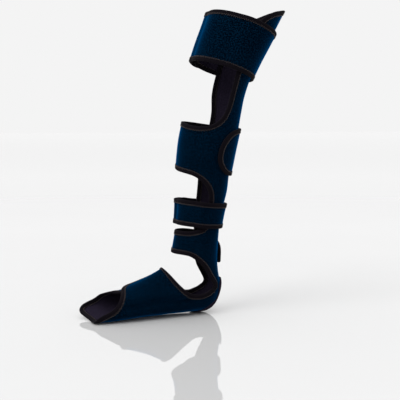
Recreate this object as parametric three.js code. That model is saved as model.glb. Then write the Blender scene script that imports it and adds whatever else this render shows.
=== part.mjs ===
// Above knee splint, in millimetres. The toes point along -X, the inner side of the leg is -Y
// and +Z is up. The origin is where the heel rests on the upper face of the sole.
// Every piece is cut flat on the surface of a leg form and then laid on it. On that surface
// "at" runs from the thigh end (0) down to the toes (about 1), and "turn" is the angle round
// the leg in degrees: 0 behind, 90 on the inner side, 180 in front, 270 on the outer side.
import * as THREE from "three";

// Leg form
const LEG_LENGTH = 520;
const THIGH_DEPTH = 140;
const THIGH_WIDTH = 138;
const ANKLE_HEIGHT = 115;
const ANKLE_SETBACK = 12;
const FOOT_LENGTH = 282;
const INSTEP_HEIGHT = 90;
const FOOT_WIDTH = 88;

// Cloth
const SHEET_THICKNESS = 3;
const TAPE_THICKNESS = 0.7;
const TAPE_WIDTH = 8;
const FIT_GAP = 0.35;
const LAYER_GAP = 1;
const HEEL_GAP = 1.4;
const HEEL_THICKNESS = 1.8;
const ANKLE_TAB_RISE = 0.6;
const HEEL_TAB_RISE = 1;

// A covering layer clears the sheet below it together with that sheet's tape and its own.
const TAPE_REACH = FIT_GAP + TAPE_THICKNESS;
const OVER_TAPE = SHEET_THICKNESS + 2 * TAPE_REACH + LAYER_GAP;
const OVER_SHEET = SHEET_THICKNESS + TAPE_REACH + LAYER_GAP;

// Facets: the turn between two columns, and how many rows lie above each place.
const TURN_STEP = 12.6;
const ROW_PLACES = [
  { at: 0, row: 0 },
  { at: 0.6, row: 17 },
  { at: 0.65, row: 19 },
  { at: 0.69, row: 23 },
  { at: 0.77, row: 35 },
  { at: 0.84, row: 38 },
  { at: 1.02, row: 44 },
];
const CORNER_TURN = 26;
const CURVE_SAMPLES = 1600;
const INSET_STEPS = 4;
const TURNS_PER_AT = 850;
const INNER_SPACING = 0.42;
const CIRCLE_MARGIN = 1.04;
const FAR_OFF = 1000;
const SLOPE_STEP = { at: 0.002, turn: 1 };

// Leg sections. rise and back are shares of LEG_LENGTH, depth of THIGH_DEPTH and width of
// THIGH_WIDTH; slope is how steeply the section's front stands above its back.
const LEG_SECTIONS = [
  { at: 0, rise: 1.02, back: 0.2433, slope: 0.33, depth: 1.041, width: 1 },
  { at: 0.065, rise: 0.915, back: 0.1963, slope: 0.33, depth: 0.964, width: 0.94 },
  { at: 0.175, rise: 0.735, back: 0.1149, slope: 0.33, depth: 0.858, width: 0.84 },
  { at: 0.22, rise: 0.645, back: 0.0844, slope: 0.22, depth: 0.846, width: 0.8 },
  { at: 0.265, rise: 0.565, back: 0.0745, slope: 0.12, depth: 0.801, width: 0.77 },
  { at: 0.295, rise: 0.513, back: 0.0652, slope: 0.1, depth: 0.798, width: 0.77 },
  { at: 0.35, rise: 0.422, back: 0.0462, slope: 0.1, depth: 0.786, width: 0.79 },
  { at: 0.41, rise: 0.329, back: 0.0322, slope: 0.1, depth: 0.747, width: 0.75 },
  { at: 0.45, rise: 0.262, back: 0.029, slope: 0.1, depth: 0.705, width: 0.7 },
  { at: 0.48, rise: 0.211, back: 0.0242, slope: 0.1, depth: 0.649, width: 0.64 },
  { at: 0.54, rise: 0.113, back: 0.0118, slope: 0.1, depth: 0.607, width: 0.56 },
  { at: 0.605, rise: 0, back: -0.0016, slope: 0.1, depth: 0.653, width: 0.52 },
];
const LEG_SQUARENESS = { behind: 2.1, before: 2 };

// Foot sections, from the sole or heel to the instep. soleX and topX are shares of FOOT_LENGTH,
// soleZ and topZ of INSTEP_HEIGHT.
const FOOT_SPINES = [
  { at: 0.64, soleX: 0.123, soleZ: 0.9, topX: -0.225, topZ: 1.15 },
  { at: 0.68, soleX: 0.137, soleZ: 0.5, topX: -0.245, topZ: 1.07 },
  { at: 0.715, soleX: 0.1, soleZ: 0.186, topX: -0.262, topZ: 1 },
  { at: 0.75, soleX: 0.034, soleZ: 0.032, topX: -0.278, topZ: 0.91 },
  { at: 0.79, soleX: -0.09, soleZ: 0, topX: -0.33, topZ: 0.815 },
  { at: 0.845, soleX: -0.265, soleZ: 0, topX: -0.41, topZ: 0.69 },
  { at: 0.9, soleX: -0.44, soleZ: 0, topX: -0.515, topZ: 0.568 },
  { at: 0.945, soleX: -0.585, soleZ: 0, topX: -0.63, topZ: 0.475 },
  { at: 0.98, soleX: -0.73, soleZ: 0, topX: -0.755, topZ: 0.39 },
  { at: 1.02, soleX: -0.9, soleZ: 0, topX: -0.905, topZ: 0.33 },
];

// How each of them goes round: width and aside are shares of FOOT_WIDTH, lean is how steeply it
// climbs towards the outer side, widest is where it is widest, counted from the sole, and behind
// and before say how square its two ends are.
const FOOT_ROUNDS = [
  { width: 0.72, aside: 0, lean: 0, widest: 0.5, behind: 2.1, before: 2 },
  { width: 0.75, aside: 0, lean: 0, widest: 0.46, behind: 2.2, before: 2 },
  { width: 0.77, aside: 0, lean: 0, widest: 0.4, behind: 2.3, before: 2 },
  { width: 0.77, aside: 0, lean: 0, widest: 0.36, behind: 2.4, before: 2 },
  { width: 0.78, aside: 0, lean: 0, widest: 0.34, behind: 2.6, before: 2 },
  { width: 0.84, aside: 0.01, lean: 0, widest: 0.34, behind: 2.8, before: 2 },
  { width: 0.93, aside: 0.02, lean: 0, widest: 0.36, behind: 3, before: 2 },
  { width: 0.97, aside: 0.03, lean: 0.06, widest: 0.4, behind: 3, before: 2.2 },
  { width: 0.93, aside: 0.05, lean: 0.14, widest: 0.45, behind: 3, before: 2.4 },
  { width: 0.84, aside: 0.06, lean: 0.2, widest: 0.5, behind: 3, before: 2.6 },
];

// Outline of the splint's sheet, followed from the top flap down the inner edge, round the two
// wings, over the foot and back up the outer edge. Turns past 360 lie over the back strip.
const BODY_OUTLINE = [
  // top flap and the back strip's inner edge
  { at: 0.0085, turn: 0 },
  { at: 0.012, turn: 20 },
  { at: 0.0175, turn: 32 },
  { at: 0.0234, turn: 42 },
  { at: 0.0348, turn: 57 },
  { at: 0.0485, turn: 68 },
  { at: 0.0631, turn: 75 },
  { at: 0.1, turn: 81 },
  { at: 0.1835, turn: 76.5 },
  { at: 0.219, turn: 73.5 },
  { at: 0.2393, turn: 75 },
  { at: 0.2625, turn: 80 },
  { at: 0.2809, turn: 87.5 },
  { at: 0.2945, turn: 100 },
  { at: 0.3025, turn: 115 },
  { at: 0.3049, turn: 135 },
  { at: 0.3028, turn: 156 },
  { at: 0.2976, turn: 180 },
  // calf wing and its tab
  { at: 0.2935, turn: 230 },
  { at: 0.2945, turn: 300 },
  { at: 0.297, turn: 370 },
  { at: 0.3015, turn: 402 },
  { at: 0.3105, turn: 421.5 },
  { at: 0.3255, turn: 433.5 },
  { at: 0.3458, turn: 441 },
  { at: 0.3648, turn: 442.5 },
  { at: 0.3817, turn: 440 },
  { at: 0.3982, turn: 431 },
  { at: 0.4107, turn: 415 },
  { at: 0.413, turn: 398 },
  { at: 0.41, turn: 350 },
  { at: 0.407, turn: 290 },
  { at: 0.406, turn: 230 },
  { at: 0.41, turn: 190 },
  // shin opening
  { at: 0.4139, turn: 168 },
  { at: 0.4174, turn: 143 },
  { at: 0.4213, turn: 126.5 },
  { at: 0.4309, turn: 110.5 },
  { at: 0.4433, turn: 98.5 },
  { at: 0.4585, turn: 90.5 },
  { at: 0.479, turn: 86.5 },
  { at: 0.51, turn: 84.5 },
  { at: 0.53, turn: 87 },
  { at: 0.5406, turn: 93.5 },
  { at: 0.5462, turn: 109 },
  { at: 0.5506, turn: 128 },
  { at: 0.5523, turn: 151 },
  // ankle wing and its tab
  { at: 0.5535, turn: 190 },
  { at: 0.553, turn: 250 },
  { at: 0.557, turn: 300 },
  { at: 0.5655, turn: 335 },
  { at: 0.576, turn: 357 },
  { at: 0.5865, turn: 370 },
  { at: 0.598, turn: 378 },
  { at: 0.61, turn: 379 },
  { at: 0.6205, turn: 371 },
  { at: 0.6255, turn: 352 },
  { at: 0.622, turn: 315 },
  { at: 0.61, turn: 262 },
  { at: 0.6035, turn: 200 },
  { at: 0.6034, turn: 165 },
  // ankle opening
  { at: 0.6029, turn: 143 },
  { at: 0.6054, turn: 120.5 },
  { at: 0.6192, turn: 93.5 },
  { at: 0.6398, turn: 67.5 },
  { at: 0.6629, turn: 51.5 },
  { at: 0.678, turn: 41 },
  { at: 0.684, turn: 39 },
  { at: 0.689, turn: 43 },
  { at: 0.697, turn: 50 },
  { at: 0.708, turn: 60.5 },
  { at: 0.7235, turn: 76 },
  { at: 0.737, turn: 91 },
  { at: 0.7475, turn: 104 },
  { at: 0.7538, turn: 112.5 },
  { at: 0.757, turn: 124.5 },
  { at: 0.758, turn: 138 },
  { at: 0.756, turn: 150.5 },
  { at: 0.7505, turn: 160.5 },
  { at: 0.7405, turn: 168 },
  // inner foot flap
  { at: 0.7325, turn: 174 },
  { at: 0.7285, turn: 180 },
  { at: 0.7305, turn: 186 },
  { at: 0.739, turn: 190.5 },
  { at: 0.752, turn: 193.5 },
  { at: 0.769, turn: 195.5 },
  { at: 0.79, turn: 197.5 },
  { at: 0.815, turn: 200 },
  { at: 0.845, turn: 202.5 },
  { at: 0.877, turn: 203 },
  { at: 0.904, turn: 200.5 },
  { at: 0.9205, turn: 189.5 },
  { at: 0.9285, turn: 176.5 },
  { at: 0.9325, turn: 163.5 },
  { at: 0.9365, turn: 148 },
  { at: 0.942, turn: 131 },
  { at: 0.949, turn: 117.5 },
  { at: 0.957, turn: 107.5 },
  { at: 0.966, turn: 100 },
  { at: 0.9755, turn: 95 },
  { at: 0.985, turn: 90.5 },
  { at: 0.9925, turn: 84.5 },
  { at: 0.9975, turn: 76 },
  { at: 1.0005, turn: 65 },
  { at: 1.002, turn: 48 },
  // toe end and the outer foot flap
  { at: 1.0055, turn: 0 },
  { at: 1.0095, turn: -42 },
  { at: 1.0125, turn: -60 },
  { at: 1.0125, turn: -70.5 },
  { at: 1.007, turn: -80.5 },
  { at: 0.9955, turn: -89 },
  { at: 0.982, turn: -97.5 },
  { at: 0.9715, turn: -112 },
  { at: 0.961, turn: -127 },
  { at: 0.9535, turn: -144 },
  { at: 0.9485, turn: -157 },
  { at: 0.9455, turn: -171 },
  { at: 0.9395, turn: -188 },
  { at: 0.929, turn: -200 },
  { at: 0.91, turn: -206 },
  { at: 0.885, turn: -206 },
  { at: 0.86, turn: -202 },
  { at: 0.838, turn: -199 },
  { at: 0.815, turn: -194 },
  { at: 0.795, turn: -184 },
  { at: 0.778, turn: -170 },
  { at: 0.765, turn: -154 },
  { at: 0.7595, turn: -138 },
  { at: 0.7585, turn: -120 },
  { at: 0.7554, turn: -102 },
  { at: 0.7412, turn: -84 },
  { at: 0.72, turn: -67 },
  { at: 0.6998, turn: -50 },
  // the back strip's outer edge
  { at: 0.689, turn: -42 },
  { at: 0.68, turn: -40 },
  { at: 0.663, turn: -47 },
  { at: 0.64, turn: -58 },
  { at: 0.61, turn: -68 },
  { at: 0.57, turn: -76 },
  { at: 0.51, turn: -80 },
  { at: 0.44, turn: -78 },
  { at: 0.35, turn: -72 },
  { at: 0.27, turn: -70 },
  { at: 0.219, turn: -73.5 },
  { at: 0.1835, turn: -76.5 },
  { at: 0.1, turn: -81 },
  { at: 0.0586, turn: -73.5 },
  { at: 0.0305, turn: -50 },
  { at: 0.0095, turn: -25 },
];

// Where the sheet rises: between turns start and full it climbs by the given height.
const BODY_RISES = [
  { above: 0, below: 0.66, start: 252, full: 276, by: OVER_TAPE },
  { above: 0, below: 0.45, start: 312, full: 342, by: OVER_SHEET - OVER_TAPE },
  { above: 0.5, below: 0.66, start: 350, full: 384, by: ANKLE_TAB_RISE },
  { above: 0.66, below: 1.1, start: 92, full: 124, by: OVER_TAPE },
];

// Bands that close over themselves: their edges, their ends and where the strip below them ends.
const THIGH_BAND = { top: 0.068, bottom: 0.1812, start: -150, end: 262, under: 92, clear: 118 };
const SHIN_STRAP = { top: 0.479, bottom: 0.5388, start: -150, end: 264, under: 98, clear: 124 };
const BAND_ROUNDING = { along: 0.022, round: 20, inside: 0.3 };
const BAND_OVERLAP_RISE = { start: -24, full: -4 };
const BAND_POINT_TURN = 40;

const HEEL_STRAP_OUTLINE = [
  { at: 0.661, turn: 0 },
  { at: 0.665, turn: 15 },
  { at: 0.675, turn: 20 },
  { at: 0.692, turn: 19 },
  { at: 0.71, turn: 25 },
  { at: 0.733, turn: 35 },
  { at: 0.755, turn: 37 },
  { at: 0.771, turn: 32 },
  { at: 0.782, turn: 19 },
  { at: 0.786, turn: 0 },
  { at: 0.782, turn: -19 },
  { at: 0.771, turn: -32 },
  { at: 0.755, turn: -37 },
  { at: 0.733, turn: -35 },
  { at: 0.71, turn: -25 },
  { at: 0.692, turn: -19 },
  { at: 0.675, turn: -20 },
  { at: 0.665, turn: -15 },
];
const HEEL_TAB = { free: 0.663, held: 0.696 };
const HEEL_BORDER = 3;
const HEEL_DENSITY = 1.3;

const COLOURS = { cloth: 0x0a1d33, tape: 0x262029 };

function legSection({ at, rise, back, slope, depth, width }) {
  const halfDepth = (depth * THIGH_DEPTH) / 2;
  const run = halfDepth / Math.hypot(1, slope);
  const middleX = back * LEG_LENGTH - ANKLE_SETBACK;
  const middleZ = ANKLE_HEIGHT + rise * LEG_LENGTH;
  return {
    at,
    backX: middleX + run,
    backZ: middleZ - run * slope,
    frontX: middleX - run,
    frontZ: middleZ + run * slope,
    halfWidth: (width * THIGH_WIDTH) / 2,
    aside: 0,
    lean: 0,
    widest: 0.5,
    ...LEG_SQUARENESS,
  };
}

function footSection({ at, soleX, soleZ, topX, topZ }, i) {
  const { width, aside, ...shape } = FOOT_ROUNDS[i];
  return {
    at,
    backX: soleX * FOOT_LENGTH,
    backZ: soleZ * INSTEP_HEIGHT,
    frontX: topX * FOOT_LENGTH,
    frontZ: topZ * INSTEP_HEIGHT,
    halfWidth: (width * FOOT_WIDTH) / 2,
    aside: aside * FOOT_WIDTH,
    ...shape,
  };
}

const SECTIONS = [...LEG_SECTIONS.map(legSection), ...FOOT_SPINES.map(footSection)];

// Slope of one section value at section i, from its neighbours.
function slopeAt(key, i) {
  const before = SECTIONS[Math.max(i - 1, 0)];
  const after = SECTIONS[Math.min(i + 1, SECTIONS.length - 1)];
  return (after[key] - before[key]) / (after.at - before.at);
}

// The section at any place, by a smooth curve through the listed ones.
function sectionAt(at) {
  let i = 0;
  while (i < SECTIONS.length - 2 && SECTIONS[i + 1].at < at) i += 1;
  const [from, to] = [SECTIONS[i], SECTIONS[i + 1]];
  const span = to.at - from.at;
  const x = (at - from.at) / span;
  const section = {};
  for (const key of Object.keys(from)) {
    section[key] =
      from[key] * (1 + 2 * x) * (1 - x) ** 2 +
      to[key] * x * x * (3 - 2 * x) +
      span * (slopeAt(key, i) * x * (1 - x) ** 2 + slopeAt(key, i + 1) * x * x * (x - 1));
  }
  return section;
}

function skinPoint(at, turn) {
  const section = sectionAt(at);
  const spine = new THREE.Vector3(section.frontX - section.backX, 0, section.frontZ - section.backZ);
  const depth = spine.length();
  const angle = THREE.MathUtils.degToRad(turn);
  const [along, across] = [Math.cos(angle), Math.sin(angle)];
  const behind = along >= 0;
  const reach = (behind ? section.widest : 1 - section.widest) * depth;
  const power = behind ? section.behind : section.before;
  const sum = Math.abs(along / reach) ** power + Math.abs(across / section.halfWidth) ** power;
  const radius = sum ** (-1 / power);
  const side = -radius * across;
  return new THREE.Vector3(section.backX, section.aside + side, section.backZ + side * section.lean)
    .addScaledVector(spine, section.widest - (radius * along) / depth);
}

// The two directions on the form's surface, per unit of at and per degree of turn.
function skinSlopes(at, turn) {
  const step = SLOPE_STEP;
  const down = skinPoint(at + step.at, turn).sub(skinPoint(at - step.at, turn));
  const round = skinPoint(at, turn + step.turn).sub(skinPoint(at, turn - step.turn));
  return { down: down.divideScalar(2 * step.at), round: round.divideScalar(2 * step.turn) };
}

// A spot on the form: its point, the direction away from the leg and the two slopes.
function spotAt(at, turn) {
  const { down, round } = skinSlopes(at, turn);
  const out = new THREE.Vector3().crossVectors(round, down).normalize();
  return { at, turn, point: skinPoint(at, turn), out, down, round };
}

function rowOf(at) {
  let i = 0;
  while (i < ROW_PLACES.length - 2 && ROW_PLACES[i + 1].at < at) i += 1;
  const [from, to] = [ROW_PLACES[i], ROW_PLACES[i + 1]];
  return THREE.MathUtils.mapLinear(at, from.at, to.at, from.row, to.row);
}

function placeOf(row) {
  let i = 0;
  while (i < ROW_PLACES.length - 2 && ROW_PLACES[i + 1].row < row) i += 1;
  const [from, to] = [ROW_PLACES[i], ROW_PLACES[i + 1]];
  return THREE.MathUtils.mapLinear(row, from.row, to.row, from.at, to.at);
}

// Flat coordinates in which columns and rows lie one unit apart, at the given density.
function flatten({ at, turn }, density) {
  return new THREE.Vector2(turn / TURN_STEP, rowOf(at)).multiplyScalar(density);
}

// Spots along a closed outline, counter-clockwise on the flat, closer together where it bends.
function outlineSpots(outline, density) {
  const corners = outline.map(({ at, turn }) => new THREE.Vector3(turn, at * TURNS_PER_AT, 0));
  if (THREE.ShapeUtils.area(corners) < 0) corners.reverse();
  const curve = new THREE.CatmullRomCurve3(corners, true, "centripetal");
  const samples = curve.getPoints(CURVE_SAMPLES).slice(0, CURVE_SAMPLES);
  const spots = samples.map((sample) => {
    const [at, turn] = [sample.y / TURNS_PER_AT, sample.x];
    return { at, turn, flat: flatten({ at, turn }, density), point: skinPoint(at, turn) };
  });
  const chosen = [];
  let [length, bend] = [1, 0];
  spots.forEach((spot, i) => {
    const before = spots.at(i - 1);
    const after = spots[(i + 1) % spots.length];
    const stepIn = spot.point.clone().sub(before.point);
    const stepOut = after.point.clone().sub(spot.point);
    length += spot.flat.distanceTo(before.flat);
    bend += THREE.MathUtils.radToDeg(stepIn.angleTo(stepOut));
    if (length < 1 && bend < CORNER_TURN) return;
    chosen.push(spotAt(spot.at, spot.turn));
    [length, bend] = [0, 0];
  });
  return chosen;
}

// The spot that lies one short step away along the form.
function stepFrom({ at, turn, down, round }, step) {
  const [a, b, c] = [down.dot(down), down.dot(round), round.dot(round)];
  const [p, q] = [step.dot(down), step.dot(round)];
  const scale = a * c - b * b;
  return spotAt(at + (p * c - q * b) / scale, turn + (q * a - p * b) / scale);
}

// Gives each outline spot its mitred direction into the cloth, and returns the spots that far in.
function addInset(ring, distance) {
  ring.forEach((spot, i) => {
    const stepIn = spot.point.clone().sub(ring.at(i - 1).point);
    const stepOut = ring[(i + 1) % ring.length].point.clone().sub(spot.point);
    const before = spot.out.clone().cross(stepIn).normalize();
    const after = spot.out.clone().cross(stepOut).normalize();
    const middle = before.clone().add(after).normalize();
    spot.inward = middle.divideScalar(middle.dot(before));
  });
  return ring.map((spot) => {
    const step = spot.inward.clone().multiplyScalar(distance / INSET_STEPS);
    let inner = spot;
    for (let i = 0; i < INSET_STEPS; i += 1) inner = stepFrom(inner, step);
    return inner;
  });
}

function insideOf(polygon, point) {
  let inside = false;
  polygon.forEach((corner, i) => {
    const next = polygon[(i + 1) % polygon.length];
    if (corner.y > point.y === next.y > point.y) return;
    const crossing = corner.x + ((point.y - corner.y) * (next.x - corner.x)) / (next.y - corner.y);
    if (point.x < crossing) inside = !inside;
  });
  return inside;
}

// Whether a point keeps off the corners and out of the circle on every side, so that each side
// stays the edge of a triangle.
function clearOf(polygon, point) {
  return polygon.every((corner, i) => {
    const next = polygon[(i + 1) % polygon.length];
    const middle = corner.clone().lerp(next, 0.5);
    if (corner.distanceTo(point) < INNER_SPACING) return false;
    return middle.distanceTo(point) > CIRCLE_MARGIN * middle.distanceTo(corner);
  });
}

// Grid points inside a polygon, every other row shifted by half a column.
function gridPoints(polygon) {
  const bounds = new THREE.Box2().setFromPoints(polygon);
  const points = [];
  for (let y = Math.ceil(bounds.min.y); y < bounds.max.y; y += 1) {
    const shift = y % 2 === 0 ? 0 : 0.5;
    for (let x = Math.floor(bounds.min.x) + shift; x < bounds.max.x; x += 1) {
      const point = new THREE.Vector2(x, y);
      if (insideOf(polygon, point) && clearOf(polygon, point)) points.push(point);
    }
  }
  return points;
}

function circleThrough(a, b, c) {
  const [bx, by, cx, cy] = [b.x - a.x, b.y - a.y, c.x - a.x, c.y - a.y];
  const twice = 2 * (bx * cy - by * cx);
  const [bb, cc] = [bx * bx + by * by, cx * cx + cy * cy];
  const [x, y] = [(cy * bb - by * cc) / twice, (bx * cc - cx * bb) / twice];
  return { x: a.x + x, y: a.y + y, reach: x * x + y * y };
}

// Delaunay triangles of flat points, counter-clockwise, as triples of indices.
function joinPoints(points) {
  const outer = [[-FAR_OFF, -FAR_OFF], [FAR_OFF, -FAR_OFF], [0, FAR_OFF]];
  const all = [...points, ...outer.map(([x, y]) => new THREE.Vector2(x, y))];
  const triangle = (...corners) => ({ corners, circle: circleThrough(...corners.map((i) => all[i])) });
  const first = points.length;
  let triangles = [triangle(first, first + 1, first + 2)];
  points.forEach((point, index) => {
    const edges = new Map();
    const kept = [];
    for (const old of triangles) {
      const { x, y, reach } = old.circle;
      if ((point.x - x) ** 2 + (point.y - y) ** 2 >= reach) {
        kept.push(old);
        continue;
      }
      old.corners.forEach((from, i) => {
        const to = old.corners[(i + 1) % 3];
        if (!edges.delete(`${to},${from}`)) edges.set(`${from},${to}`, [from, to]);
      });
    }
    for (const [from, to] of edges.values()) kept.push(triangle(from, to, index));
    triangles = kept;
  });
  return triangles.map(({ corners }) => corners).filter((corners) => corners.every((i) => i < first));
}

// Spots and triangles of one piece of cloth. The first spots are its outline, then its inset.
function cutCloth(outline, borderWidth = TAPE_WIDTH, density = 1) {
  const ring = outlineSpots(outline, density);
  const inset = addInset(ring, borderWidth);
  const polygon = inset.map((spot) => flatten(spot, density));
  const grid = gridPoints(polygon);
  const points = [...polygon, ...grid];
  const centre = (corners) =>
    corners.reduce((sum, i) => sum.add(points[i]), new THREE.Vector2()).divideScalar(3);
  const middle = joinPoints(points).filter((corners) => insideOf(polygon, centre(corners)));
  const count = ring.length;
  const border = ring.flatMap((_, i) => {
    const next = (i + 1) % count;
    return [[i, next, count + next], [i, count + next, count + i]];
  });
  const inner = grid.map(({ x, y }) => spotAt(placeOf(y / density), (x * TURN_STEP) / density));
  const spots = [...ring, ...inset, ...inner];
  const triangles = [...border, ...middle.map((corners) => corners.map((i) => i + count))];
  return { spots, count, triangles };
}

function meshFrom(name, points, triangles, colour) {
  const geometry = new THREE.BufferGeometry().setFromPoints(points);
  geometry.setIndex(triangles.flat());
  geometry.computeVertexNormals();
  const material = new THREE.MeshStandardMaterial({ color: colour, roughness: 0.9, metalness: 0 });
  const mesh = new THREE.Mesh(geometry, material);
  mesh.name = name;
  return mesh;
}

const laidOut = (spot, height) => spot.point.clone().addScaledVector(spot.out, height);

// A sheet of cloth at the height that rise gives for each spot.
function sheetMesh(name, cloth, rise, thickness = SHEET_THICKNESS, colour = COLOURS.cloth) {
  const { spots, count, triangles } = cloth;
  const under = spots.map((spot) => laidOut(spot, rise(spot)));
  const over = spots.map((spot) => laidOut(spot, rise(spot) + thickness));
  const total = spots.length;
  const faces = [];
  for (const [a, b, c] of triangles) faces.push([a + total, b + total, c + total], [a, c, b]);
  for (let i = 0; i < count; i += 1) {
    const next = (i + 1) % count;
    faces.push([i, next, i + total], [next, next + total, i + total]);
  }
  return meshFrom(name, [...under, ...over], faces, colour);
}

// The folded tape's section: edge marks a corner at the cloth's edge and not at the tape's end,
// wrap is how far it stands off that edge and height its level above the cloth's lower face.
const TAPE_SECTION = [
  { edge: false, wrap: 0, height: SHEET_THICKNESS + TAPE_REACH },
  { edge: true, wrap: TAPE_REACH, height: SHEET_THICKNESS + TAPE_REACH },
  { edge: true, wrap: TAPE_REACH, height: -TAPE_REACH },
  { edge: false, wrap: 0, height: -TAPE_REACH },
  { edge: false, wrap: 0, height: -FIT_GAP },
  { edge: true, wrap: FIT_GAP, height: -FIT_GAP },
  { edge: true, wrap: FIT_GAP, height: SHEET_THICKNESS + FIT_GAP },
  { edge: false, wrap: 0, height: SHEET_THICKNESS + FIT_GAP },
];

// A tape folded round the whole outline of a sheet.
function tapeMesh(name, cloth, rise) {
  const { spots, count } = cloth;
  const sides = TAPE_SECTION.length;
  const points = [];
  const faces = [];
  for (let i = 0; i < count; i += 1) {
    for (const corner of TAPE_SECTION) {
      const spot = spots[corner.edge ? i : count + i];
      const point = laidOut(spot, rise(spot) + corner.height);
      if (corner.edge) point.addScaledVector(spot.inward, -corner.wrap);
      points.push(point);
    }
    const next = (i + 1) % count;
    TAPE_SECTION.forEach((_, k) => {
      const after = (k + 1) % sides;
      const [a, b] = [i * sides + k, i * sides + after];
      const [c, d] = [next * sides + after, next * sides + k];
      if (TAPE_SECTION[after].edge) faces.push([a, b, d], [b, c, d]);
      else faces.push([a, b, c], [a, c, d]);
    });
  }
  return meshFrom(name, points, faces, COLOURS.tape);
}

const easedRise = (value, start, full) => THREE.MathUtils.smoothstep(value, start, full);

function bodyRise({ at, turn }) {
  return BODY_RISES.filter((row) => at >= row.above && at < row.below)
    .reduce((height, row) => height + row.by * easedRise(turn, row.start, row.full), 0);
}

// A band rises over the back strip's taped edges and, at its end, over its own start.
function bandRise(band) {
  const overlap = 360 + band.start;
  return ({ turn }) => {
    const fromBehind = Math.abs(turn > 180 ? turn - 360 : turn);
    const overStrip = 1 - easedRise(fromBehind, band.under, band.clear);
    const { start, full } = BAND_OVERLAP_RISE;
    return OVER_TAPE * (overStrip + easedRise(turn, overlap + start, overlap + full));
  };
}

// Points from one turn to another at one place along the leg.
function sideways(at, from, to) {
  const steps = Math.round(Math.abs(to - from) / BAND_POINT_TURN);
  const places = Array.from({ length: steps + 1 }, (_, i) => i / steps);
  return places.map((share) => ({ at, turn: THREE.MathUtils.lerp(from, to, share) }));
}

function bandOutline({ top, bottom, start, end }) {
  const { along, round, inside } = BAND_ROUNDING;
  const [alongInside, roundInside] = [along * inside, round * inside];
  return [
    ...sideways(top, start + round, end - round),
    { at: top + alongInside, turn: end - roundInside },
    { at: top + along, turn: end },
    { at: bottom - along, turn: end },
    { at: bottom - alongInside, turn: end - roundInside },
    ...sideways(bottom, end - round, start + round),
    { at: bottom - alongInside, turn: start + roundInside },
    { at: bottom - along, turn: start },
    { at: top + along, turn: start },
    { at: top + alongInside, turn: start + roundInside },
  ];
}

function heelRise({ at }) {
  const free = 1 - easedRise(at, HEEL_TAB.free, HEEL_TAB.held);
  return SHEET_THICKNESS + HEEL_GAP + HEEL_TAB_RISE * free;
}

function tapedPiece(name, outline, rise) {
  const cloth = cutCloth(outline);
  return [sheetMesh(name, cloth, rise), tapeMesh(`${name}_binding`, cloth, rise)];
}

const splint = new THREE.Group();
splint.add(...tapedPiece("leg_body", BODY_OUTLINE, bodyRise));
splint.add(...tapedPiece("thigh_band", bandOutline(THIGH_BAND), bandRise(THIGH_BAND)));
splint.add(...tapedPiece("shin_strap", bandOutline(SHIN_STRAP), bandRise(SHIN_STRAP)));
const heelCloth = cutCloth(HEEL_STRAP_OUTLINE, HEEL_BORDER, HEEL_DENSITY);
splint.add(sheetMesh("heel_strap", heelCloth, heelRise, HEEL_THICKNESS, COLOURS.tape));

export default splint;
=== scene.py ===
import math

import bmesh
import bpy
import numpy as np
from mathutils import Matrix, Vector, noise
from mathutils.kdtree import KDTree


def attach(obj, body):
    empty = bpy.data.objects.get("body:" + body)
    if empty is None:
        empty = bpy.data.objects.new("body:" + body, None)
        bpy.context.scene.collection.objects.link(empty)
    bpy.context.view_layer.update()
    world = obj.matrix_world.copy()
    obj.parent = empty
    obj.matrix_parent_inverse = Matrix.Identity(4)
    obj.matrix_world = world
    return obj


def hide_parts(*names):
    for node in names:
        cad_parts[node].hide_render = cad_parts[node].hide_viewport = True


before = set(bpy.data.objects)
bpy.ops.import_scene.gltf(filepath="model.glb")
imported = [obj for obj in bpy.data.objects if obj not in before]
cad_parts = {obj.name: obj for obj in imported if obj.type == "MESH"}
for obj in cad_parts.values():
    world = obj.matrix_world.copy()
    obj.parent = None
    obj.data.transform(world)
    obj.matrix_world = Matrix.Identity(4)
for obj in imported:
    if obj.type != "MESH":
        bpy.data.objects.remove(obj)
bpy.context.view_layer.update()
print("frame loaded")

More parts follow.
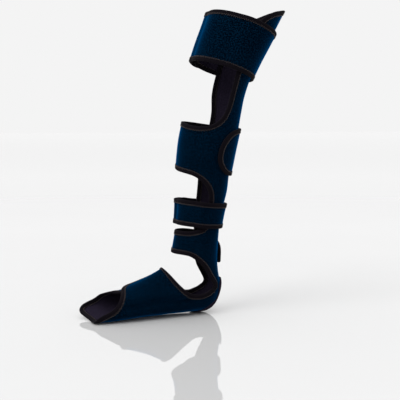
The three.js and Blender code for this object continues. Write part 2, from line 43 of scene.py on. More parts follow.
# The form that the cloth lies on, in metres. "at" runs from the thigh end (0) to the toe end (1),
# "turn" goes round in degrees: 0 behind, 90 on the inner side, 180 in front, 270 outside.
legForm = {
    "legLength": 0.52, "thighDepth": 0.14, "thighWidth": 0.138,
    "ankleHeight": 0.115, "ankleSetback": 0.012,
    "footLength": 0.282, "instepHeight": 0.09, "footWidth": 0.088,
    # at, rise, back, slope, depth, width
    "legSections": [
        (0, 1.02, 0.2433, 0.33, 1.041, 1), (0.065, 0.915, 0.1963, 0.33, 0.964, 0.94),
        (0.175, 0.735, 0.1149, 0.33, 0.858, 0.84), (0.22, 0.645, 0.0844, 0.22, 0.846, 0.8),
        (0.265, 0.565, 0.0745, 0.12, 0.801, 0.77), (0.295, 0.513, 0.0652, 0.1, 0.798, 0.77),
        (0.35, 0.422, 0.0462, 0.1, 0.786, 0.79), (0.41, 0.329, 0.0322, 0.1, 0.747, 0.75),
        (0.45, 0.262, 0.029, 0.1, 0.705, 0.7), (0.48, 0.211, 0.0242, 0.1, 0.649, 0.64),
        (0.54, 0.113, 0.0118, 0.1, 0.607, 0.56), (0.605, 0, -0.0016, 0.1, 0.653, 0.52),
    ],
    # at, soleX, soleZ, topX, topZ, width, aside, lean, widest, squareness behind and before
    "footSections": [
        (0.64, 0.123, 0.9, -0.225, 1.15, 0.72, 0, 0, 0.5, 2.1, 2),
        (0.68, 0.137, 0.5, -0.245, 1.07, 0.75, 0, 0, 0.46, 2.2, 2),
        (0.715, 0.1, 0.186, -0.262, 1, 0.77, 0, 0, 0.4, 2.3, 2),
        (0.75, 0.034, 0.032, -0.278, 0.91, 0.77, 0, 0, 0.36, 2.4, 2),
        (0.79, -0.09, 0, -0.33, 0.815, 0.78, 0, 0, 0.34, 2.6, 2),
        (0.845, -0.265, 0, -0.41, 0.69, 0.84, 0.01, 0, 0.34, 2.8, 2),
        (0.9, -0.44, 0, -0.515, 0.568, 0.93, 0.02, 0, 0.36, 3, 2),
        (0.945, -0.585, 0, -0.63, 0.475, 0.97, 0.03, 0.06, 0.4, 3, 2.2),
        (0.98, -0.73, 0, -0.755, 0.39, 0.93, 0.05, 0.14, 0.45, 3, 2.4),
        (1.02, -0.9, 0, -0.905, 0.33, 0.84, 0.06, 0.2, 0.5, 3, 2.6),
    ],
    "squareness": 2.1, "frontSquareness": 2,    # of the sections above the foot
    "swell": 0.0006, "swellSize": 0.05,         # soft waves in the cloth
    "slopeSpan": 0.002,                         # of at, over which slopes are measured
}

# shallow valleys in the cloth: one along the foot, one in the strip under the calf wing
creases = [
    {"path": [(0.941, 97), (0.9075, 99.5), (0.867, 101), (0.8385, 101), (0.805, 97.5), (0.7795, 95)],
     "depth": 0.0026, "width": 0.0045},
    {"path": [(0.417, 72), (0.448, 72), (0.476, 67.5)], "depth": 0.0008, "width": 0.003},
]

sheetCut = {
    "thickness": 0.003, "edge": 0.003,          # cloth, and the length of its edge segments
    "turnStep": 3.0, "atStep": 0.0045,          # its cells
    "pressed": 0.0007, "pressedWidth": 0.011,   # the tape and its stitches press the edge down
    "pressedInside": 0.4, "evenShare": 0.5,     # share on the lining, and of the width that stays even
}
drawing = {
    "atScale": 850,         # at times this is drawn to one scale with turn in degrees
    "samples": 6000,        # points on a drawn curve
    "insetSteps": 4,        # short steps in which an outline moves into the cloth
    "flatScale": 1000,      # at times this is y on the flat cloth, whose x is turn
    "clothUv": (0.00105, 0.00088),  # metres of cloth in one unit of x and of y
}

# how far a layer stands off the one below
layers = {"overTape": 0.0061, "overSheet": 0.00505, "ankleTab": 0.0006}


def formColumns(form):
    # at, back x and z, front x and z, half width, aside, lean, widest, behind, before
    rows = []
    for at, rise, back, slope, depth, width in form["legSections"]:
        run = depth * form["thighDepth"] / 2 / math.hypot(1, slope)
        x = back * form["legLength"] - form["ankleSetback"]
        z = form["ankleHeight"] + rise * form["legLength"]
        rows.append([at, x + run, z - run * slope, x - run, z + run * slope,
                     width * form["thighWidth"] / 2, 0, 0, 0.5,
                     form["squareness"], form["frontSquareness"]])
    for at, soleX, soleZ, topX, topZ, width, aside, lean, widest, behind, before in form["footSections"]:
        rows.append([at, soleX * form["footLength"], soleZ * form["instepHeight"],
                     topX * form["footLength"], topZ * form["instepHeight"],
                     width * form["footWidth"] / 2, aside * form["footWidth"], lean,
                     widest, behind, before])
    return np.array(rows)


formTable = formColumns(legForm)
formSlopes = np.array([
    (formTable[min(i + 1, len(formTable) - 1)] - formTable[max(i - 1, 0)])
    / (formTable[min(i + 1, len(formTable) - 1), 0] - formTable[max(i - 1, 0), 0])
    for i in range(len(formTable))])


def skinPoints(at, turn):
    i = np.clip(np.searchsorted(formTable[:, 0], at) - 1, 0, len(formTable) - 2)
    low, high = formTable[i], formTable[i + 1]
    span = (high[:, 0] - low[:, 0])[:, None]
    x = (at - low[:, 0])[:, None] / span
    section = low * (1 + 2 * x) * (1 - x) ** 2 + high * x * x * (3 - 2 * x)
    section += span * (formSlopes[i] * x * (1 - x) ** 2 + formSlopes[i + 1] * x * x * (x - 1))
    backX, backZ, frontX, frontZ, halfWidth, aside, lean, widest, behind, before = section[:, 1:].T
    alongX, alongZ = frontX - backX, frontZ - backZ
    depth = np.hypot(alongX, alongZ)
    cos, sin = np.cos(np.radians(turn)), np.sin(np.radians(turn))
    reach = np.where(cos >= 0, widest, 1 - widest) * depth
    power = np.where(cos >= 0, behind, before)
    radius = (np.abs(cos / reach) ** power + np.abs(sin / halfWidth) ** power) ** (-1 / power)
    share = widest - radius * cos / depth
    side = -radius * sin
    return np.stack([backX + alongX * share, aside + side, backZ + side * lean + alongZ * share], axis=1)


def surfaceAt(at, turn):
    # points, directions out of the form, and the slopes down it and round it
    span = legForm["slopeSpan"]
    down = (skinPoints(at + span, turn) - skinPoints(at - span, turn)) / (2 * span)
    around = (skinPoints(at, turn + 1) - skinPoints(at, turn - 1)) / 2
    out = np.cross(around, down)
    out /= np.linalg.norm(out, axis=1)[:, None]
    return skinPoints(at, turn), out, down, around


def creaseGaps(points, path):
    corners = skinPoints(*np.array(path, float).T)
    starts, steps = corners[:-1], corners[1:] - corners[:-1]
    away = points[:, None] - starts
    share = np.clip((away * steps).sum(2) / (steps ** 2).sum(1), 0, 1)
    return np.linalg.norm(away - steps * share[:, :, None], axis=2).min(1)


def clothWaves(points):
    # the same for every layer on one spot of the form, so that none cuts into the next
    size, depth = legForm["swellSize"], legForm["swell"]
    waves = np.array([noise.noise(Vector(p) / size) for p in points]) * depth
    for crease in creases:
        waves -= crease["depth"] * np.exp(-(creaseGaps(points, crease["path"]) / crease["width"]) ** 2)
    return waves


def layOn(at, turn, height):
    points, out, _, _ = surfaceAt(at, turn)
    return points + out * (height + clothWaves(points))[:, None]


def smoothStep(value, start, full):
    x = np.clip((value - start) / (full - start), 0, 1)
    return x * x * (3 - 2 * x)


# Outlines on the flat cloth, drawn as smooth closed curves through (at, turn) points

def smoothLoop(points, count):
    # a centripetal spline
    p1 = np.array([(turn, at * drawing["atScale"]) for at, turn in points], float)
    p0, p2, p3 = np.roll(p1, 1, 0), np.roll(p1, -1, 0), np.roll(p1, -2, 0)
    d0, d1, d2 = (np.sqrt(np.linalg.norm(b - a, axis=1))[:, None]
                  for a, b in ((p0, p1), (p1, p2), (p2, p3)))
    t1 = ((p1 - p0) / d0 - (p2 - p0) / (d0 + d1) + (p2 - p1) / d1) * d1
    t2 = ((p2 - p1) / d1 - (p3 - p1) / (d1 + d2) + (p3 - p2) / d2) * d1
    place = np.arange(count) * len(p1) / count
    i, x = place.astype(int), (place % 1)[:, None]
    a, b, s, e = p1[i], p2[i], t1[i], t2[i]
    curve = a + s * x + (3 * (b - a) - 2 * s - e) * x ** 2 + (2 * (a - b) + s + e) * x ** 3
    return curve[:, 1] / drawing["atScale"], curve[:, 0]


def evenLoop(points, spacing):
    # the outline in equal steps, with the cloth on its left, as arrays of at and turn
    at, turn = smoothLoop(points, drawing["samples"])
    if (turn * np.roll(at, -1) - np.roll(turn, -1) * at).sum() < 0:
        at, turn = at[::-1], turn[::-1]
    places = skinPoints(np.append(at, at[0]), np.append(turn, turn[0]))
    along = np.append(0, np.cumsum(np.linalg.norm(np.diff(places, axis=0), axis=1)))
    count = int(round(along[-1] / spacing / 2)) * 2
    steps = np.arange(count) * along[-1] / count
    evenAt = np.interp(steps, along, np.append(at, at[0]))
    evenTurn = np.interp(steps, along, np.append(turn, turn[0]))
    return evenAt, evenTurn, along[-1]


def insetLoop(at, turn, distance):
    # the same outline moved into the cloth by one distance, or by one for each point
    points, out, down, around = surfaceAt(at, turn)
    ahead = np.roll(points, -1, 0) - np.roll(points, 1, 0)
    inward = np.cross(out, ahead)
    inward /= np.linalg.norm(inward, axis=1)[:, None]
    step = inward * np.broadcast_to(distance, at.shape)[:, None] / drawing["insetSteps"]
    for _ in range(drawing["insetSteps"]):
        a, b, c = (down * down).sum(1), (down * around).sum(1), (around * around).sum(1)
        p, q = (step * down).sum(1), (step * around).sum(1)
        at, turn = at + (p * c - q * b) / (a * c - b * b), turn + (q * a - p * b) / (a * c - b * b)
        _, _, down, around = surfaceAt(at, turn)
    return at, turn


# Making and laying the cloth

def sliceCells(bm, faces, axis, lines):
    # cuts flat faces along evenly spaced lines, halving them each time
    if not lines or not faces:
        return
    middle = lines[len(lines) // 2]
    normal, spot = [0, 0, 0], [0, 0, 0]
    normal[axis], spot[axis] = 1, middle
    geom = list({v for f in faces for v in f.verts}) + list({e for f in faces for e in f.edges}) + faces
    made = bmesh.ops.bisect_plane(bm, geom=geom, dist=1e-7, plane_co=spot, plane_no=normal)["geom"]
    made = [g for g in made if isinstance(g, bmesh.types.BMFace)]
    low = [f for f in made if f.calc_center_median()[axis] < middle]
    high = [f for f in made if f.calc_center_median()[axis] >= middle]
    sliceCells(bm, low, axis, lines[:len(lines) // 2])
    sliceCells(bm, high, axis, lines[len(lines) // 2 + 1:])


def cutCloth(points, cut):
    # a flat slab in the shape of the outline, with its thickness in z
    at, turn, _ = evenLoop(points, cut["edge"])
    scale = drawing["flatScale"]
    bm = bmesh.new()
    corners = [bm.verts.new((t, a * scale, 0)) for a, t in zip(at, turn)]
    bm.faces.new(corners)
    rows = np.arange(at.min() // cut["atStep"] + 1, at.max() / cut["atStep"]) * cut["atStep"] * scale
    sliceCells(bm, bm.faces[:], 1, list(rows))
    columns = np.arange(turn.min() // cut["turnStep"] + 1, turn.max() / cut["turnStep"]) * cut["turnStep"]
    sliceCells(bm, bm.faces[:], 0, list(columns))
    bmesh.ops.triangulate(bm, faces=[f for f in bm.faces if len(f.verts) > 4])
    made = bmesh.ops.extrude_face_region(bm, geom=bm.faces[:])["geom"]
    for v in made:
        if isinstance(v, bmesh.types.BMVert):
            v.co.z = cut["thickness"]
    bmesh.ops.recalc_face_normals(bm, faces=bm.faces)
    return bm, at, turn


def finishMesh(bm, name, materials):
    mesh = bpy.data.meshes.new(name)
    bm.to_mesh(mesh)
    bm.free()
    piece = bpy.data.objects.new(name, mesh)
    bpy.context.collection.objects.link(piece)
    for material in materials:
        mesh.materials.append(material)
    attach(piece, "root")
    print(name, len(mesh.polygons), "faces")
    return piece


def clothPiece(name, points, rise, cut, materials):
    # cuts a piece flat, gives it UV coordinates in metres and lays it on the form
    bm, edgeAt, edgeTurn = cutCloth(points, cut)
    flat = np.array([v.co for v in bm.verts])
    turn, at, level = flat[:, 0], flat[:, 1] / drawing["flatScale"], flat[:, 2] / cut["thickness"]
    atScale = drawing["atScale"]
    edgeTree = KDTree(len(edgeAt))
    for i, (a, t) in enumerate(zip(edgeAt, edgeTurn)):
        edgeTree.insert((t, a * atScale, 0), i)
    edgeTree.balance()
    nearest = np.array([edgeTree.find((t, a * atScale, 0))[1] for a, t in zip(at, turn)])
    fromEdge = np.linalg.norm(skinPoints(at, turn) - skinPoints(edgeAt, edgeTurn)[nearest], axis=1)
    even, wide = cut["pressedWidth"] * cut["evenShare"], cut["pressedWidth"]
    pressed = cut["pressed"] * (1 - smoothStep(fromEdge, even, wide))
    height = np.where(level > 0.5, cut["thickness"] - pressed, pressed * cut["pressedInside"])
    uvLayer = bm.loops.layers.uv.new("cloth")
    uvX, uvY = drawing["clothUv"]
    middle = cut["thickness"] / 2
    for f in bm.faces:
        levels = [v.co.z > middle for v in f.verts]
        f.smooth = True
        f.material_index = 0 if all(levels) else len(materials) - 1
        if any(levels) and not all(levels):
            for e in f.edges:
                e.smooth = e.verts[0].co.z != e.verts[1].co.z
        for loop in f.loops:
            loop[uvLayer].uv = (loop.vert.co.x * uvX, loop.vert.co.y * uvY)
    for v, place in zip(bm.verts, layOn(at, turn, rise(at, turn) + height)):
        v.co = place
    return finishMesh(bm, name, materials)


def sweptRing(bm, places, stepLength, across):
    # a closed tube through places[section point, step along]: a grid, bent round and welded
    wide, long = places.shape[:2]
    made = bmesh.ops.create_grid(bm, x_segments=long, y_segments=wide, size=0.5)["verts"]
    uvLayer = bm.loops.layers.uv.verify()
    for v in made:
        i, k = round((v.co.x + 0.5) * long), round((v.co.y + 0.5) * wide)
        for loop in v.link_loops:
            loop[uvLayer].uv = (i * stepLength, across[k % wide])
        v.co = places[k % wide, i % long]
    bmesh.ops.remove_doubles(bm, verts=made, dist=1e-7)


# Folded edge tape

tape = {
    "step": 0.0021,                      # two steps make one zigzag stitch
    # mm in from the cloth's edge, and mm above its outer face, mirrored on its inner one
    "outerFace": [
        (8, 0.1), (8.1, 0.45), (7.7, 0.72), (6.3, 0.88), (5.3, 0.68), (4, 1), (1.8, 0.95), (0.2, 0.6),
        (-0.7, -0.2)],
    "bulge": 1.0,                        # how far it stands off the edge, mm
    "foldDepth": 5, "clearance": 0.35,   # of the fold that holds the cloth, and from its edge, mm
    "foldGap": 0.1,                      # between the fold's deep end and the cloth, mm
    "serration": 0.8, "dip": 0.25,       # at the stitches, mm
    "serrated": 0.006, "dipped": (0.0055, 0.0079),  # where they start and end, m in from the edge
    "ripple": 0.3, "rippleSize": 0.016,  # slow waves, mm and m
}
stitch = {
    "near": 0.0062, "far": 0.0094,              # the zigzag's corners, in from the edge
    "nearHeight": 0.001, "farHeight": 0.0003,   # of the tape and the cloth under them
    "thread": 0.0004, "proud": 0.00012,         # half its width, and how far it stands out
    "uvStep": 0.001,                            # across the thread
}


def tapeSection(thickness):
    outer = [(s, thickness * 1000 + h) for s, h in tape["outerFace"]]
    inner = [(s, -h) for s, h in reversed(tape["outerFace"])]
    edge = [(-tape["bulge"], thickness * 500)]
    deep, near, gap, top = tape["foldDepth"], tape["clearance"], tape["foldGap"], thickness * 1000
    fold = [(deep, -gap), (near, 0), (near, top), (deep, top + gap)]
    return np.array(outer + edge + inner + fold) / 1000


def tapePiece(name, points, rise, thickness, material):
    at, turn, length = evenLoop(points, tape["step"])
    edge = skinPoints(at, turn)
    ripple = np.array([noise.noise(Vector(p) / tape["rippleSize"]) for p in edge]) * tape["ripple"] / 1000
    pull = np.where(np.arange(len(at)) % 2, 1, -1)
    section = tapeSection(thickness)
    dipStart, dipEnd = tape["dipped"]
    rows = []
    for inside, height in section:
        atStitch = inside > tape["serrated"]
        inset = inside + atStitch * pull * tape["serration"] / 1000
        rowAt, rowTurn = insetLoop(at, turn, inset)
        outwards = 1 if height > thickness / 2 else -1
        dip = (pull > 0) * tape["dip"] / 1000 if dipStart < inside < dipEnd else 0
        rows.append(layOn(rowAt, rowTurn, rise(at, turn) + height + outwards * (np.abs(ripple) - dip)))
    bm = bmesh.new()
    sweptRing(bm, np.array(rows), length / len(at), section[:, 0])
    bmesh.ops.recalc_face_normals(bm, faces=bm.faces)
    for f in bm.faces:
        f.smooth = True
    return finishMesh(bm, name, [material])


def stitchPiece(name, points, rise, thickness, material):
    # zigzag thread over the tape's inner edge, on the outer face and on the lining
    at, turn, length = evenLoop(points, tape["step"])
    onTape = np.arange(len(at)) % 2
    inset = np.where(onTape, stitch["near"], stitch["far"])
    overTape = np.where(onTape, stitch["nearHeight"], stitch["farHeight"]) + stitch["proud"]
    threadAt, threadTurn = insetLoop(at, turn, inset)
    bm = bmesh.new()
    for side in (1, -1):
        level = thickness + overTape if side > 0 else -overTape
        core = layOn(threadAt, threadTurn, rise(at, turn) + level)
        _, out, _, _ = surfaceAt(threadAt, threadTurn)
        ahead = np.roll(core, -2, 0) - np.roll(core, 2, 0)
        ahead /= np.linalg.norm(ahead, axis=1)[:, None]
        rows = [core + stitch["thread"] * (out * math.sin(a) + ahead * math.cos(a))
                for a in np.radians([45, 135, 225, 315])]
        sweptRing(bm, np.array(rows), length / len(at), np.arange(len(rows)) * stitch["uvStep"])
    bmesh.ops.recalc_face_normals(bm, faces=bm.faces)
    for f in bm.faces:
        f.smooth = True
    return finishMesh(bm, name, [material])


# Finishes

def newMaterial(name):
    material = bpy.data.materials.new(name)
    material.use_nodes = True
    nodes, links = material.node_tree.nodes, material.node_tree.links
    shader = nodes["Principled BSDF"]

    def add(kind, **inputs):
        # a node with its settings, and with sockets set by name (Base_Color) or number (in1)
        node = nodes.new(kind)
        for key, value in inputs.items():
            if key[0].islower() and hasattr(node, key):
                setattr(node, key, value)
            else:
                socket = int(key[2:]) if key.startswith("in") else key.replace("_", " ")
                node.inputs[socket].default_value = value
        return node

    def join(source, target, output=0, socket=0):
        links.new(source.outputs[output], target.inputs[socket])

    return material, shader, add, join


def setColours(ramp, stops):
    # each stop is a position and a colour
    elements = ramp.color_ramp.elements
    for position, _ in stops[1:-1]:
        elements.new(position)
    for element, (position, colour) in zip(elements, stops):
        element.position, element.color = position, (*colour, 1)


knit = {
    "loop": 0.0011, "fleck": 0.0023, "patch": 0.03,     # sizes of the pattern, m
    "patchShare": 0.06, "loopShare": 0.5,
    "darkest": 0.495, "lightest": 0.655,                # levels of the noise
    "bump": 0.3, "bumpHeight": 0.0004, "roughness": 0.92, "sheenRoughness": 0.33,
}
navy = {"dark": (0.0001, 0.0006, 0.0018), "light": (0.0003, 0.0108, 0.0268),
        "sheen": 0.5, "sheenTint": (0.0, 0.25, 0.8)}
charcoal = {"dark": (0.0078, 0.0062, 0.0118), "light": (0.021, 0.0168, 0.03),
            "sheen": 0.01, "sheenTint": (1, 1, 1)}


def knitMaterial(name, finish):
    material, shader, add, join = newMaterial(name)
    place = add("ShaderNodeUVMap", uv_map="cloth")
    loops = add("ShaderNodeTexVoronoi", feature="F1", Scale=1 / knit["loop"], Randomness=0.45)
    fleck = add("ShaderNodeTexNoise", Scale=1 / knit["fleck"], Detail=3.0, Roughness=0.65)
    patch = add("ShaderNodeTexNoise", Scale=1 / knit["patch"], Detail=2.0)
    for node in (loops, fleck, patch):
        join(place, node, 0, "Vector")
    blend = add("ShaderNodeMath", operation="MULTIPLY_ADD", in1=knit["patchShare"])
    join(patch, blend, "Fac", 0)
    join(fleck, blend, "Fac", 2)
    ramp = add("ShaderNodeValToRGB")
    join(blend, ramp)
    setColours(ramp, [(knit["darkest"], finish["dark"]), (knit["lightest"], finish["light"])])
    join(ramp, shader, 0, "Base Color")
    height = add("ShaderNodeMath", operation="MULTIPLY_ADD", in1=knit["loopShare"])
    join(fleck, height, "Fac", 0)
    join(loops, height, "Distance", 2)
    bump = add("ShaderNodeBump", invert=True, Strength=knit["bump"], Distance=knit["bumpHeight"])
    join(height, bump, 0, "Height")
    join(bump, shader, 0, "Normal")
    shader.inputs["Roughness"].default_value = knit["roughness"]
    shader.inputs["Specular IOR Level"].default_value = 0.0
    shader.inputs["Sheen Weight"].default_value = finish["sheen"]
    shader.inputs["Sheen Roughness"].default_value = knit["sheenRoughness"]
    shader.inputs["Sheen Tint"].default_value = (*finish["sheenTint"], 1)
    return material


ribbed = {
    "rib": 0.0014, "fuzz": 900.0, "fuzzShare": 0.5,     # m, per m, and how much the fuzz shows
    # the ribs' colour, darker where ribs and fuzz sink: painted shade in the rib valleys, varied at
    # random by the fuzz
    "colours": [(0.15, (0.0012, 0.0009, 0.0015)), (0.8, (0.0112, 0.0082, 0.0124))],
    # across the tape in cm from its fold: lighter near the fold, painted shade in the groove before the
    # redder stitched half, and a painted shadow line at the inner edge where the tape lies on the cloth
    "across": [(0, (1, 1, 1.1)), (0.42, (1.1, 1.05, 1.1)), (0.52, (0.5, 0.5, 0.55)),
               (0.6, (0.85, 0.75, 0.75)), (0.82, (0.35, 0.3, 0.3))],
    "bump": 0.5, "bumpHeight": 0.0003, "roughness": 0.85, "shine": 0.03,
    "sheen": 0.012, "sheenRoughness": 0.5,
}
waveLength = 0.314      # the wave texture's length at scale 1
threadFinish = {"colour": (0.02, 0.0105, 0.0105), "roughness": 0.6}


def tapeMaterial(name):
    material, shader, add, join = newMaterial(name)
    place = add("ShaderNodeUVMap", uv_map="UVMap")
    ribs = add("ShaderNodeTexWave", wave_type="BANDS", bands_direction="X",
               Scale=waveLength / ribbed["rib"], Distortion=0.6)
    fuzz = add("ShaderNodeTexNoise", Scale=ribbed["fuzz"], Detail=3.0)
    for node in (ribs, fuzz):
        join(place, node, 0, "Vector")
    blend = add("ShaderNodeMath", operation="MULTIPLY_ADD", in1=ribbed["fuzzShare"])
    join(fuzz, blend, "Fac", 0)
    join(ribs, blend, "Fac", 2)
    # ribs and fuzz set both the colour and the bump, so the valleys get painted shade
    ramp = add("ShaderNodeValToRGB")
    join(blend, ramp)
    setColours(ramp, ribbed["colours"])
    bump = add("ShaderNodeBump", Strength=ribbed["bump"], Distance=ribbed["bumpHeight"])
    join(blend, bump, 0, "Height")
    join(bump, shader, 0, "Normal")
    # the tape's tone across its width, with painted shade in its groove and a painted shadow line along
    # its inner edge, multiplied into the rib colours
    split = add("ShaderNodeSeparateXYZ")
    metresToCm = add("ShaderNodeMath", operation="MULTIPLY", in1=100.0)
    shade = add("ShaderNodeValToRGB")
    mix = add("ShaderNodeMix", data_type="RGBA", blend_type="MULTIPLY", in0=1.0)
    join(place, split)
    join(split, metresToCm, "Y", 0)
    join(metresToCm, shade)
    setColours(shade, ribbed["across"])
    join(ramp, mix, 0, 6)
    join(shade, mix, 0, 7)
    join(mix, shader, 2, "Base Color")
    shader.inputs["Roughness"].default_value = ribbed["roughness"]
    shader.inputs["Specular IOR Level"].default_value = ribbed["shine"]
    shader.inputs["Sheen Weight"].default_value = ribbed["sheen"]
    shader.inputs["Sheen Roughness"].default_value = ribbed["sheenRoughness"]
    return material


def threadMaterial(name):
    material, shader, _, _ = newMaterial(name)
    shader.inputs["Base Color"].default_value = (*threadFinish["colour"], 1)
    shader.inputs["Roughness"].default_value = threadFinish["roughness"]
    return material


navyKnit = knitMaterial("navyKnit", navy)
charcoalLining = knitMaterial("charcoalLining", charcoal)
ribbedTape = tapeMaterial("ribbedTape")
thread = threadMaterial("thread")
print("finishes made")


# The body of the splint: back strip, wings and foot wrap in one sheet

legBody = {
    # at, turn
    "outline": [
        # top flap and the back strip's inner edge
        (0.0085, 0), (0.012, 20), (0.0175, 32), (0.0234, 42), (0.0348, 57),
        (0.0485, 68), (0.0631, 75), (0.1, 81), (0.1835, 76.5), (0.219, 73.5),
        (0.2393, 75), (0.2625, 80), (0.2809, 87.5), (0.2945, 100), (0.3025, 115),
        (0.3049, 135), (0.3028, 156), (0.2976, 180),
        # calf wing and its tab
        (0.2935, 230), (0.2945, 300), (0.297, 370), (0.3015, 402), (0.3105, 421.5),
        (0.3255, 433.5), (0.3458, 441), (0.3648, 442.5), (0.3817, 440), (0.3982, 431),
        (0.4107, 415), (0.413, 398), (0.41, 350), (0.407, 290), (0.406, 230),
        (0.41, 190),
        # shin opening
        (0.4139, 168), (0.4174, 143), (0.4213, 126.5), (0.4309, 110.5), (0.4433, 98.5),
        (0.4585, 90.5), (0.479, 86.5), (0.51, 84.5), (0.53, 87), (0.5406, 93.5),
        (0.5462, 109), (0.5506, 128), (0.5523, 151),
        # ankle wing and its tab
        (0.5535, 190), (0.553, 250), (0.557, 300), (0.5655, 335), (0.576, 357),
        (0.5865, 370), (0.598, 378), (0.61, 379), (0.6205, 371), (0.6255, 352),
        (0.622, 315), (0.61, 262), (0.6035, 200), (0.6034, 165),
        # ankle opening
        (0.6029, 143), (0.6054, 120.5), (0.6192, 93.5), (0.6398, 67.5), (0.6629, 51.5),
        (0.678, 41), (0.684, 39), (0.689, 43), (0.697, 50), (0.708, 60.5),
        (0.7235, 76), (0.737, 91), (0.7475, 104), (0.7538, 112.5), (0.757, 124.5),
        (0.758, 138), (0.756, 150.5), (0.7505, 160.5), (0.7405, 168),
        # inner foot flap
        (0.7325, 174), (0.7285, 180), (0.7305, 186), (0.739, 190.5), (0.752, 193.5),
        (0.769, 195.5), (0.79, 197.5), (0.815, 200), (0.845, 202.5), (0.877, 203),
        (0.904, 200.5), (0.9205, 189.5), (0.9285, 176.5), (0.9325, 163.5), (0.9365, 148),
        (0.942, 131), (0.949, 117.5), (0.957, 107.5), (0.966, 100), (0.9755, 95),
        (0.985, 90.5), (0.9925, 84.5), (0.9975, 76), (1.0005, 65), (1.002, 48),
        # toe end and the outer foot flap
        (1.0055, 0), (1.0095, -42), (1.0125, -60), (1.0125, -70.5), (1.007, -80.5),
        (0.9955, -89), (0.982, -97.5), (0.9715, -112), (0.961, -127), (0.9535, -144),
        (0.9485, -157), (0.9455, -171), (0.9395, -188), (0.929, -200), (0.91, -206),
        (0.885, -206), (0.86, -202), (0.838, -199), (0.815, -194), (0.795, -184),
        (0.778, -170), (0.765, -154), (0.7595, -138), (0.7585, -120), (0.7554, -102),
        (0.7412, -84), (0.72, -67), (0.6998, -50),
        # the back strip's outer edge
        (0.689, -42), (0.68, -40), (0.663, -47), (0.64, -58), (0.61, -68),
        (0.57, -76), (0.51, -80), (0.44, -78), (0.35, -72), (0.27, -70),
        (0.219, -73.5), (0.1835, -76.5), (0.1, -81), (0.0586, -73.5), (0.0305, -50),
        (0.0095, -25),
    ],
    "flat": (0.58, 0.91), "area": 0.181,
    # footStart is an at, and the wings and the inner flap climb between these turns
    "footStart": 0.66, "wingClimb": (252, 276), "flapClimb": (92, 124),
    # the calf tab comes down onto bare cloth, and the ankle tab stands off a little
    "calfWing": 0.45, "calfTab": (312, 342), "ankleWing": 0.5, "ankleTab": (350, 384),
}

# where the edge of the ankle opening buckles, at its back corner
tucks = {"spot": (0.694, 47.5), "towards": (0.708, 60.5), "size": 0.009, "reach": 0.011, "height": 0.003}


def edgeTucks(at, turn):
    ends = np.array([tucks["spot"], tucks["towards"]]).T
    spot, towards = skinPoints(*ends)
    gaps = skinPoints(at, turn) - spot
    along = gaps @ (towards - spot) / np.linalg.norm(towards - spot)
    fade = np.exp(-(np.linalg.norm(gaps, axis=1) / tucks["reach"]) ** 2)
    return tucks["height"] * fade * (0.5 + 0.5 * np.cos(2 * math.pi * along / tucks["size"]))


def bodyRise(at, turn):
    # each wing climbs over the back strip, and the inner foot flap over the outer one
    upper = at < legBody["footStart"]
    rise = upper * smoothStep(turn, *legBody["wingClimb"]) * layers["overTape"]
    calf = (at < legBody["calfWing"]) * smoothStep(turn, *legBody["calfTab"])
    ankle = upper * (at > legBody["ankleWing"]) * smoothStep(turn, *legBody["ankleTab"])
    rise += calf * (layers["overSheet"] - layers["overTape"])
    rise += ankle * layers["ankleTab"]
    flap = ~upper * smoothStep(turn, *legBody["flapClimb"])
    return rise + flap * layers["overTape"] + edgeTucks(at, turn)


body = clothPiece("legBody", legBody["outline"], bodyRise, sheetCut, [navyKnit, charcoalLining])
bodyTape = tapePiece("legBodyTape", legBody["outline"], bodyRise, sheetCut["thickness"], ribbedTape)
bodyStitch = stitchPiece("legBodyStitches", legBody["outline"], bodyRise, sheetCut["thickness"], thread)
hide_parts("leg_body")
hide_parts("leg_body_binding")
print("body made")


# Bands that close over their own start

# top and bottom are at, start and end are turn; the band lies on the strip up to under degrees
# from the back, and beside it from clear
thighBand = {"top": 0.068, "bottom": 0.1812, "start": -150, "end": 262, "under": 92, "clear": 118,
             "flat": (0.107, 0.51), "area": 0.0505}
shinStrap = {"top": 0.479, "bottom": 0.5388, "start": -150, "end": 264, "under": 98, "clear": 124,
             "flat": (0.052, 0.35), "area": 0.0173}
bandShape = {
    "cornerAt": 0.022, "cornerTurn": 20, "cornerCut": 0.3,  # rounded corners, and their middle points
    "pointSpacing": 40,                                     # degrees between points of the long edges
    "climb": (-24, -4),                                     # onto its own start, from there in degrees
}


def bandOutline(band):
    top, bottom, start, end = band["top"], band["bottom"], band["start"], band["end"]
    down, side, cut = bandShape["cornerAt"], bandShape["cornerTurn"], bandShape["cornerCut"]

    def sideways(at, first, last):
        count = int(abs(last - first) / bandShape["pointSpacing"] + 0.5) + 1
        return [(at, turn) for turn in np.linspace(first, last, count)]

    return [
        *sideways(top, start + side, end - side),
        (top + down * cut, end - side * cut), (top + down, end),
        (bottom - down, end), (bottom - down * cut, end - side * cut),
        *sideways(bottom, end - side, start + side),
        (bottom - down * cut, start + side * cut), (bottom - down, start),
        (top + down, start), (top + down * cut, start + side * cut)]


def bandRise(band):
    climbStart, climbEnd = (360 + band["start"] + turn for turn in bandShape["climb"])

    def rise(at, turn):
        fromBehind = np.abs(np.where(turn > 180, turn - 360, turn))
        overStrip = 1 - smoothStep(fromBehind, band["under"], band["clear"])
        return layers["overTape"] * (overStrip + smoothStep(turn, climbStart, climbEnd))

    return rise


for name, node, band in (("thighBand", "thigh_band", thighBand), ("shinStrap", "shin_strap", shinStrap)):
    outline, rise = bandOutline(band), bandRise(band)
    cloth = clothPiece(name, outline, rise, sheetCut, [navyKnit, charcoalLining])
    binding = tapePiece(name + "Tape", outline, rise, sheetCut["thickness"], ribbedTape)
    stitches = stitchPiece(name + "Stitches", outline, rise, sheetCut["thickness"], thread)
    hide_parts(node)
    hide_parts(node + "_binding")
print("bands made")


# The heel strap, with its tab standing off behind

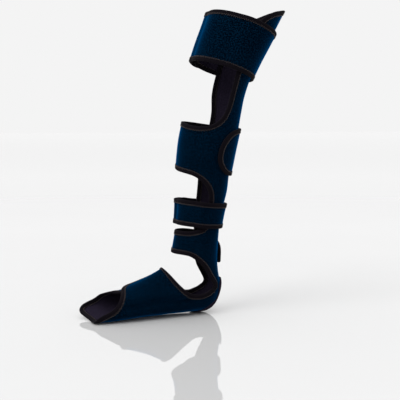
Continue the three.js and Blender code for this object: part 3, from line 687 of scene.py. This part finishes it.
heelStrap = {
    "outline": [
        (0.661, 0), (0.6645, 18), (0.675, 24), (0.692, 23), (0.71, 25), (0.733, 35),
        (0.755, 37), (0.771, 32), (0.782, 19), (0.786, 0), (0.782, -19), (0.771, -32),
        (0.755, -37), (0.733, -35), (0.71, -25), (0.692, -19), (0.675, -20), (0.665, -15),
    ],
    "gap": 0.0014, "tabRise": 0.001,    # off the body, and how much further the tab stands off
    "free": 0.663, "held": 0.696,       # the tab stands off fully at free, and not from held on
    "flat": (0.062, 0.11), "area": 0.0055,
}
heelCut = dict(sheetCut, thickness=0.0018, edge=0.0015, pressed=0.0004, pressedWidth=0.004,
               turnStep=2.0, atStep=0.0025)


def heelRise(at, turn):
    standing = 1 - smoothStep(at, heelStrap["free"], heelStrap["held"])
    return sheetCut["thickness"] + heelStrap["gap"] + heelStrap["tabRise"] * standing


heel = clothPiece("heelStrap", heelStrap["outline"], heelRise, heelCut, [charcoalLining])
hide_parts("heel_strap")
print("heel strap made")


# Floor, light and camera

studio = {
    "floor": -0.0074, "floorSize": 40, "floorRoughness": 0.02, "floorIor": 3.0,
    "floorColours": [(0, (0.469, 0.469, 0.472)), (1, (0.481, 0.481, 0.481))],
    "level": 0.905, "zenith": 2.2, "levelUpTo": 0.35,   # sky: low down, overhead, and the height between
    "key": 1.6, "keySoftness": 35, "keyFrom": (-0.75, -0.2, 0.75),
    "lens": 66.6, "sensor": 36, "away": 1.517, "height": 0.378, "turned": 20, "tilt": 5.7,
}


def floorMaterial():
    material, shader, add, join = newMaterial("paleFloor")
    grain = add("ShaderNodeTexNoise", Scale=3.0, Detail=1.0)
    spot = add("ShaderNodeTexCoord")
    join(spot, grain, "Object", "Vector")
    ramp = add("ShaderNodeValToRGB")
    join(grain, ramp, "Fac")
    setColours(ramp, studio["floorColours"])
    join(ramp, shader, 0, "Base Color")
    shader.inputs["Roughness"].default_value = studio["floorRoughness"]
    shader.inputs["IOR"].default_value = studio["floorIor"]
    return material


def studioFloor():
    bm = bmesh.new()
    made = bmesh.ops.create_grid(bm, x_segments=1, y_segments=1, size=studio["floorSize"])["verts"]
    bmesh.ops.translate(bm, verts=made, vec=(0, 0, studio["floor"]))
    mesh = bpy.data.meshes.new("studioFloor")
    bm.to_mesh(mesh)
    bm.free()
    floor = bpy.data.objects.new("studioFloor", mesh)
    bpy.context.collection.objects.link(floor)
    mesh.materials.append(floorMaterial())


def softSky():
    # even light from the sides, more of it from overhead
    world = bpy.data.worlds.new("studio")
    bpy.context.scene.world = world
    world.use_nodes = True
    nodes, links = world.node_tree.nodes, world.node_tree.links
    spot, split, ramp = (nodes.new(kind) for kind in (
        "ShaderNodeTexCoord", "ShaderNodeSeparateXYZ", "ShaderNodeValToRGB"))
    links.new(spot.outputs["Generated"], split.inputs[0])
    links.new(split.outputs["Z"], ramp.inputs["Fac"])
    links.new(ramp.outputs["Color"], nodes["Background"].inputs["Color"])
    setColours(ramp, [(studio["levelUpTo"], [studio["level"]] * 3), (1, [studio["zenith"]] * 3)])


def softKey():
    light = bpy.data.lights.new("softKey", "SUN")
    light.energy, light.angle = studio["key"], math.radians(studio["keySoftness"])
    lamp = bpy.data.objects.new("softKey", light)
    lamp.rotation_euler = Vector(studio["keyFrom"]).to_track_quat("Z", "Y").to_euler()
    bpy.context.collection.objects.link(lamp)


def studioCamera():
    camera = bpy.data.cameras.new("camera")
    camera.lens, camera.sensor_width = studio["lens"], studio["sensor"]
    seat = bpy.data.objects.new("camera", camera)
    away, turned, tilt = studio["away"], math.radians(studio["turned"]), math.radians(studio["tilt"])
    seat.location = (-math.sin(turned) * away, -math.cos(turned) * away, studio["height"])
    seat.rotation_euler = (math.pi / 2 - tilt, 0, -turned)
    bpy.context.collection.objects.link(seat)
    bpy.context.scene.camera = seat


studioFloor()
softSky()
softKey()
studioCamera()
bpy.context.scene.view_settings.view_transform = "Standard"
print("studio made")
